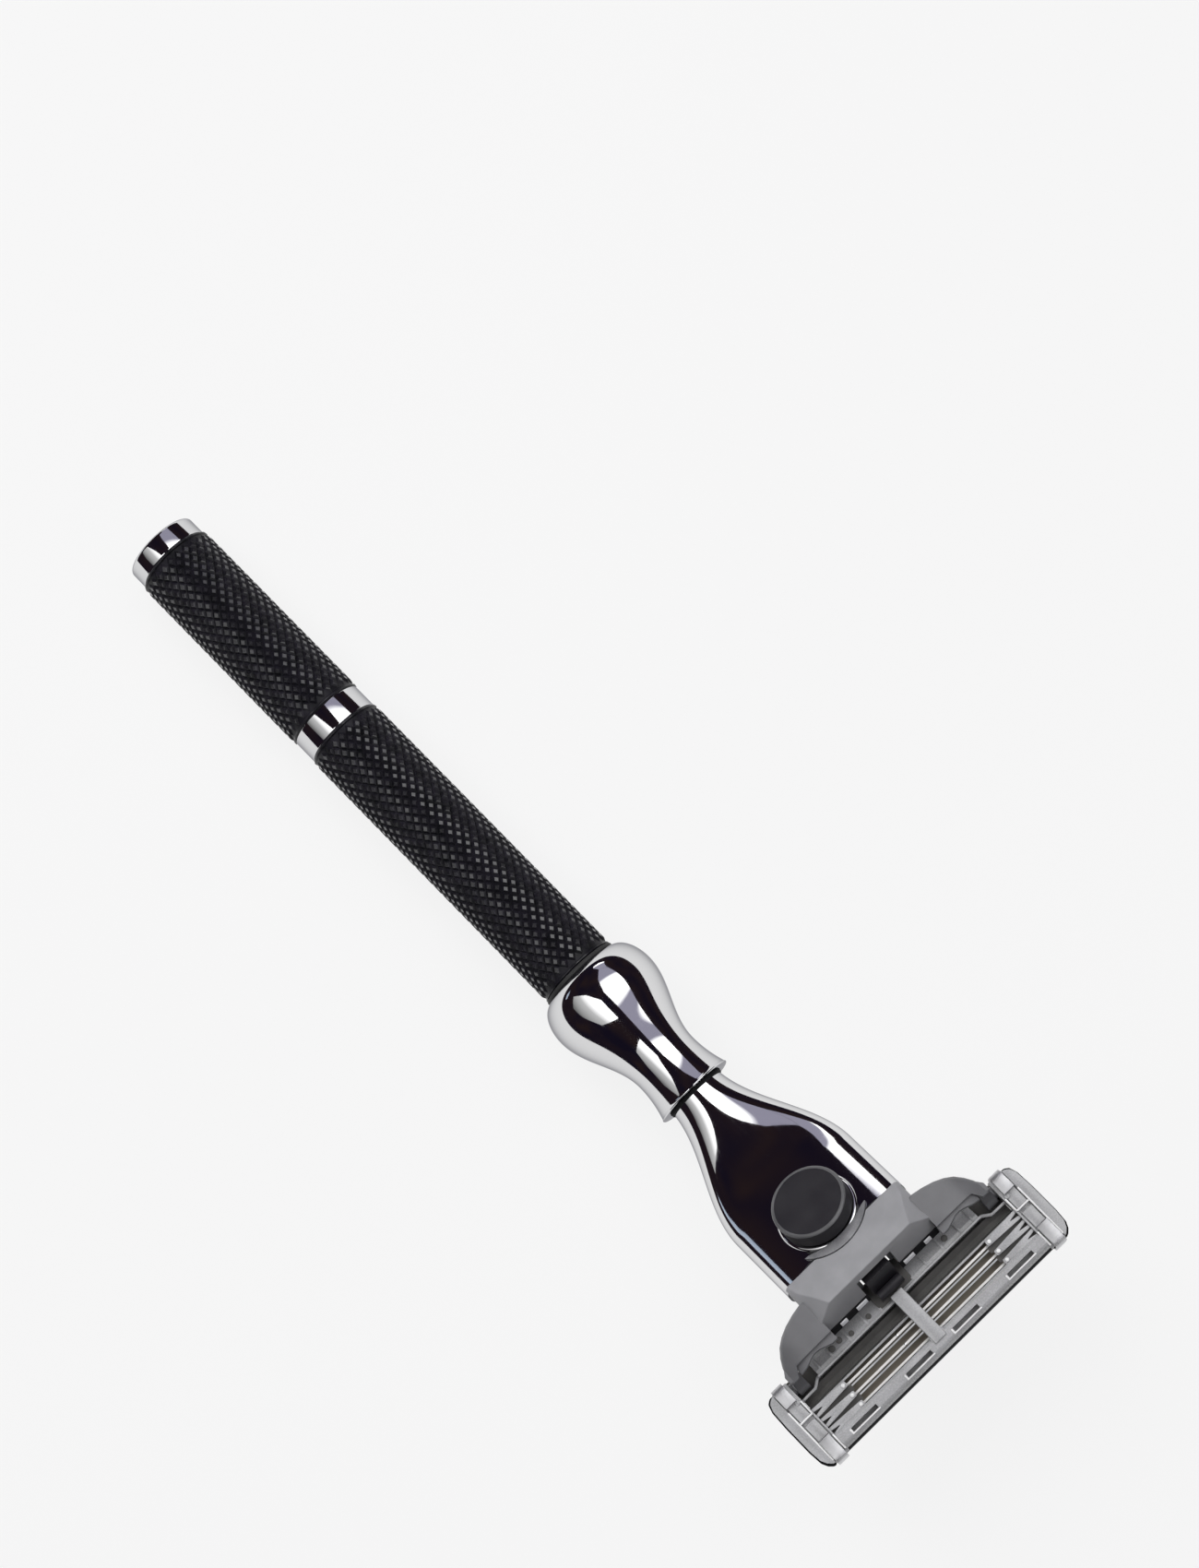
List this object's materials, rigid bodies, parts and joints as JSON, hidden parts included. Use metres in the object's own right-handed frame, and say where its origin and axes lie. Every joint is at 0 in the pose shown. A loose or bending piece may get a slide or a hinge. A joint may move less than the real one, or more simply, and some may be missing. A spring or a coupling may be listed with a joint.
{
  "type": "cartridge razor",
  "caption": "Wet-shaving razor: knurled metal handle, curved polished head with a sliding release button, and a tilting multi-blade cartridge.",
  "frame": {"origin": "centre of the end cap's flat end, on the handle's axis", "axes": "+Y along the handle from the end cap to the cartridge, +Z towards the button side, X across, along the blades"},
  "size_m": [0.0404, 0.1401, 0.0225],
  "materials": {
    "polished_metal": "polished",
    "black_grip": "black, diamond knurled",
    "steel": "plain",
    "blade_steel": "ground edge",
    "support_steel": "stamped",
    "clip_metal": "satin",
    "charcoal_plastic": "matte",
    "chassis_plastic": "moulded",
    "grey_plastic": "satin moulded",
    "housing_plastic": "semi-gloss moulded",
    "seal_rubber": "matte",
    "guard_rubber": "soft",
    "strip_polymer": "waxy"
  },
  "bodies": {
    "handle": {"end_cap": "polished_metal", "cap_seal": "seal_rubber", "rear_grip": "black_grip", "middle_ring": "polished_metal", "front_grip": "black_grip", "core_weight": "steel", "tie_rod": "steel", "rod_washer": "steel", "neck_gasket": "seal_rubber", "neck": "polished_metal", "head_chassis": "chassis_plastic", "head_shell": "polished_metal", "front_cover": "polished_metal", "cover_screws": "steel", "button_spring": "steel", "plunger_spring": "steel"},
    "button": {"release_button": "charcoal_plastic", "button_carriage": "chassis_plastic", "button_screw": "steel"},
    "plunger": {"plunger": "charcoal_plastic"},
    "connector": {"connector_yoke": "grey_plastic"},
    "blade_unit": {"blade_housing": "housing_plastic", "guard_strip": "guard_rubber", "lubricating_strip": "strip_polymer", "clip_left": "clip_metal", "clip_right": "clip_metal"},
    "blade_1": {"blade_support_1": "support_steel", "blade_1": "blade_steel"},
    "blade_2": {"blade_support_2": "support_steel", "blade_2": "blade_steel"},
    "blade_3": {"blade_support_3": "support_steel", "blade_3": "blade_steel"}
  },
  "joints": [
    {"name": "button_slide", "type": "slide", "parent": "handle", "child": "button", "axis": [0, 0.866, 0.5], "range_m": [0, 0.0015], "stiffness_N_per_m": 900, "springref_m": -0.001, "deforming": ["button_spring"]},
    {"name": "cartridge_release", "type": "slide", "parent": "handle", "child": "connector", "axis": [0, 0.866, 0.5], "range_m": [0, 0.009]},
    {"name": "blade_pivot", "type": "hinge", "parent": "connector", "child": "blade_unit", "pos_m": [0, 0.13022, 0.008], "axis": [1, 0, 0], "range_deg": [0, 40], "stiffness_Nm_per_rad": 0.004, "springref_deg": -22.92},
    {"name": "plunger_slide", "type": "slide", "parent": "handle", "child": "plunger", "axis": [0, -0.866, -0.5], "range_m": [0, 0.002], "deforming": ["plunger_spring"]},
    {"name": "blade_1_float", "type": "slide", "parent": "blade_unit", "child": "blade_1", "axis": [0, 0, 1], "range_m": [0, 0.00025], "stiffness_N_per_m": 800, "springref_m": -0.0002},
    {"name": "blade_2_float", "type": "slide", "parent": "blade_unit", "child": "blade_2", "axis": [0, 0, 1], "range_m": [0, 0.00025], "stiffness_N_per_m": 800, "springref_m": -0.0002},
    {"name": "blade_3_float", "type": "slide", "parent": "blade_unit", "child": "blade_3", "axis": [0, 0, 1], "range_m": [0, 0.00025], "stiffness_N_per_m": 800, "springref_m": -0.0002}
  ],
  "couplings": [
    {"joint": "plunger_slide", "follows": "blade_pivot", "m_per_rad": 0.002743}
  ]
}
